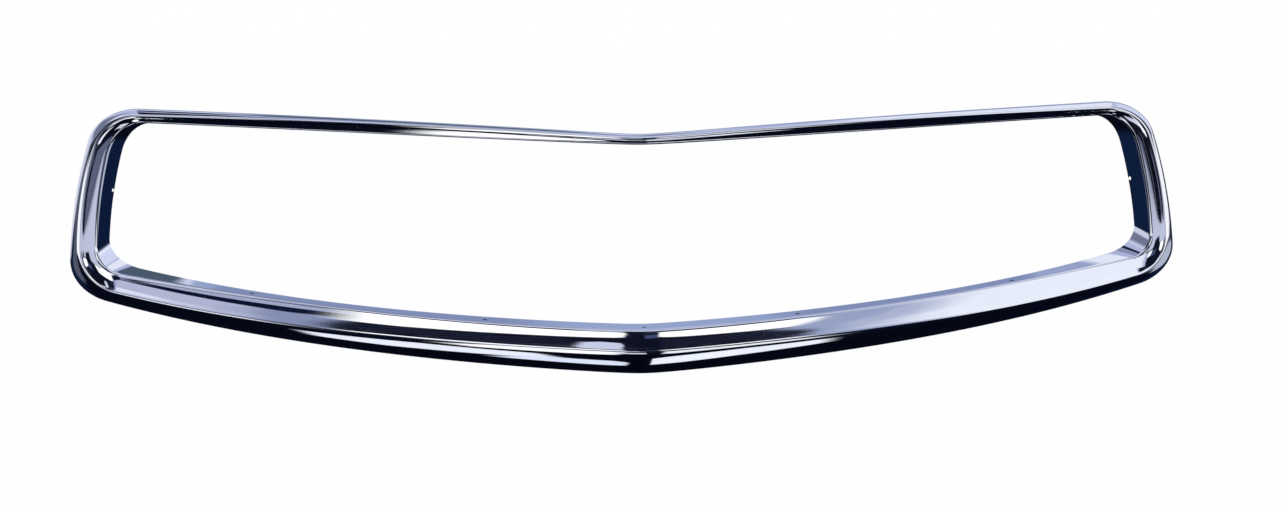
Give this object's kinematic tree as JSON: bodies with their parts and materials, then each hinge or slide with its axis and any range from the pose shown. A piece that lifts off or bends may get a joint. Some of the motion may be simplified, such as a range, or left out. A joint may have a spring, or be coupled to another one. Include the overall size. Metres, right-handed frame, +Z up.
{
  "type": "automotive front grille surround",
  "caption": "Bright chromed grille surround with a vee prow, thin top rail, deep lower rail and rounded leaning ends, with hidden welded studs and tabs behind.",
  "frame": {"origin": "midway between the two inner lower studs, on the rear face of their plates", "axes": "+X along the width to the right as seen from the front, +Y back into the car along the studs, +Z up; the front faces -Y"},
  "size_m": [1.0092, 0.1247, 0.2309],
  "materials": {
    "bright_sheet": "polished",
    "plated_steel": "dull zinc plate",
    "stud_steel": "zinc plate"
  },
  "bodies": {
    "root": {"upper_rail_left": "bright_sheet", "upper_rail_right": "bright_sheet", "lower_rail_left": "bright_sheet", "lower_rail_right": "bright_sheet", "end_pressing_left": "bright_sheet", "end_pressing_right": "bright_sheet", "lower_stud_plate_inner_left": "plated_steel", "lower_stud_plate_inner_right": "plated_steel", "lower_stud_plate_outer_left": "plated_steel", "lower_stud_plate_outer_right": "plated_steel", "side_stud_plate_left": "plated_steel", "side_stud_plate_right": "plated_steel", "upper_tab_inner_left": "plated_steel", "upper_tab_inner_right": "plated_steel", "upper_tab_outer_left": "plated_steel", "upper_tab_outer_right": "plated_steel", "upper_joint_strap_left": "plated_steel", "upper_joint_strap_right": "plated_steel", "lower_joint_strap_left": "plated_steel", "lower_joint_strap_right": "plated_steel", "upper_prow_splice": "plated_steel", "lower_prow_splice": "plated_steel", "mounting_studs": "stud_steel"}
  },
  "joints": []
}
